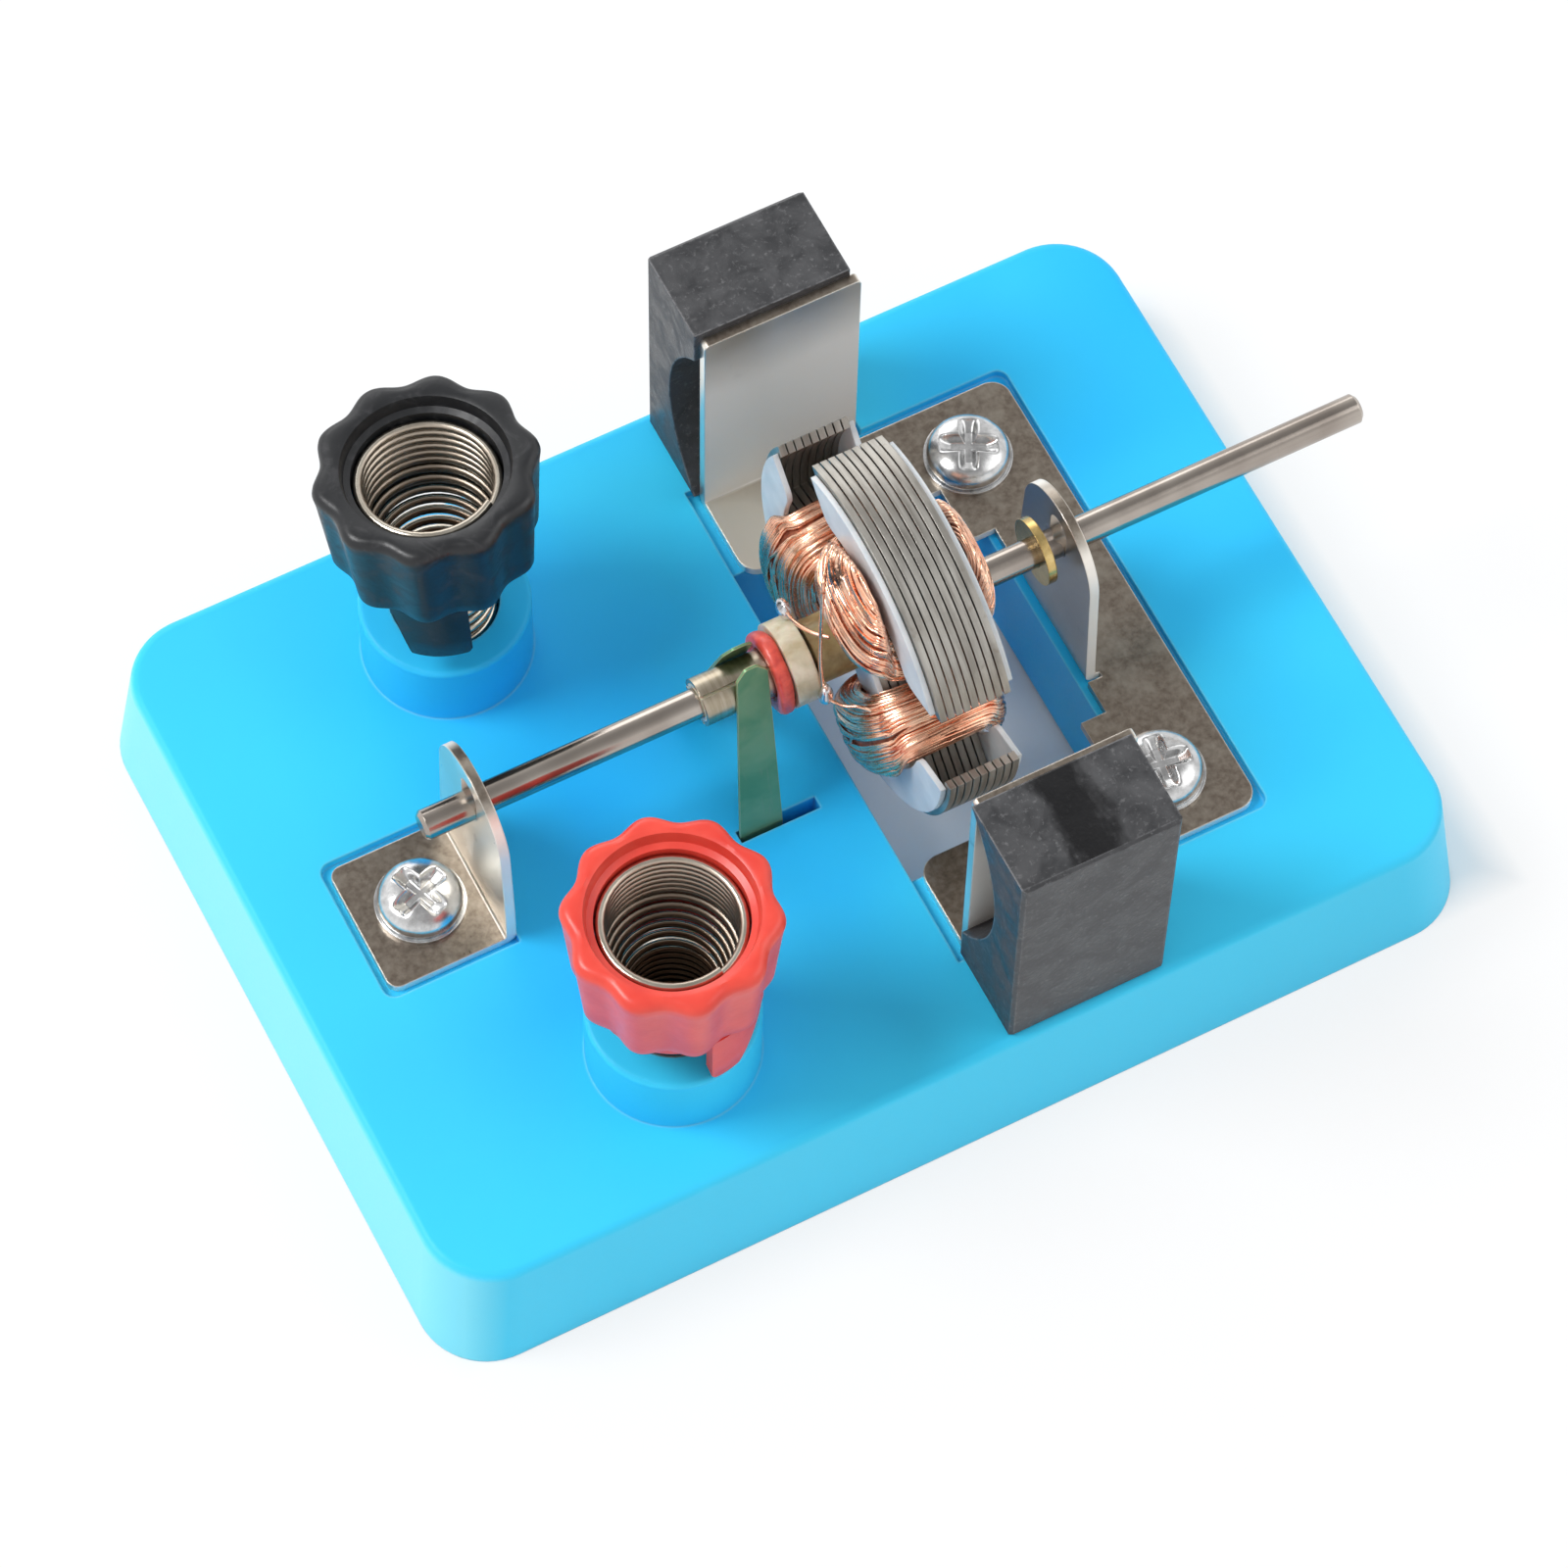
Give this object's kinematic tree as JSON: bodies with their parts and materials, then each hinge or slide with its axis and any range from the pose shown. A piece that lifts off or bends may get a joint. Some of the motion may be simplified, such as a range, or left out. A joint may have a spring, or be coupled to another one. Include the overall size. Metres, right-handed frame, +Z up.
{
  "type": "demonstration electric motor",
  "caption": "Open demonstration electric motor on a moulded base: a wound rotor with commutator between two block magnets, strip brushes and two spring wire terminals.",
  "frame": {"origin": "middle of the whole motor's footprint, at the level of the table it stands on", "axes": "+X along the shaft towards its long output end, +Y towards the back magnet and the black terminal, +Z up"},
  "size_m": [0.1164, 0.0794, 0.0487],
  "materials": {
    "blue_moulding": "gloss",
    "plated_sheet": "satin",
    "ferrite": "matte",
    "zinc_plate": "bright",
    "brush_strip": "tarnished",
    "black_plastic": "gloss",
    "red_plastic": "gloss",
    "spring_wire": "bright drawn",
    "ground_steel": "ground",
    "core_steel": "dull",
    "clear_nylon": "translucent",
    "enamelled_copper": "enamelled",
    "bare_copper": "worn bright",
    "bare_brass": "bright",
    "amber_plastic": "translucent",
    "cream_plastic": "translucent",
    "red_ring": "gloss"
  },
  "bodies": {
    "base": {"base": "blue_moulding", "left_bracket": "plated_sheet", "yoke": "plated_sheet", "magnet_front": "ferrite", "magnet_back": "ferrite", "mounting_screws": "zinc_plate", "screw_washers": "zinc_plate", "contact_screws": "zinc_plate", "brush_front": "brush_strip", "brush_back": "brush_strip", "black_terminal_spring": "spring_wire", "red_terminal_spring": "spring_wire"},
    "rotor": {"shaft": "ground_steel", "lamination_01": "core_steel", "lamination_02": "core_steel", "lamination_03": "core_steel", "lamination_04": "core_steel", "lamination_05": "core_steel", "lamination_06": "core_steel", "lamination_07": "core_steel", "lamination_08": "core_steel", "lamination_09": "core_steel", "insulator_commutator_side": "clear_nylon", "insulator_drive_side": "clear_nylon", "winding_1": "enamelled_copper", "winding_2": "enamelled_copper", "winding_3": "enamelled_copper", "spacer_sleeve": "amber_plastic", "commutator_hub": "cream_plastic", "commutator_segment_1": "bare_copper", "commutator_segment_2": "bare_copper", "commutator_segment_3": "bare_copper", "commutator_ring": "red_ring", "thrust_collar": "bare_brass"},
    "black_cap": {"black_terminal_cap": "black_plastic"},
    "red_cap": {"red_terminal_cap": "red_plastic"}
  },
  "joints": [
    {"name": "rotor_spin", "type": "hinge", "parent": "base", "child": "rotor", "pos_m": [0.00787, 0, 0.0299], "axis": [1, 0, 0], "continuous": true},
    {"name": "red_cap_tilt", "type": "hinge", "parent": "base", "child": "red_cap", "pos_m": [-0.02373, -0.03167, 0.02355], "axis": [0.9135, 0.4067, 0], "range_deg": [0, 12], "stiffness_Nm_per_rad": 0.3, "deforming": ["red_terminal_spring"]},
    {"name": "black_cap_tilt", "type": "hinge", "parent": "base", "child": "black_cap", "pos_m": [-0.03148, 0.0168, 0.02455], "axis": [0.8572, -0.515, 0], "range_deg": [0, 20], "stiffness_Nm_per_rad": 0.3, "deforming": ["black_terminal_spring"]}
  ]
}
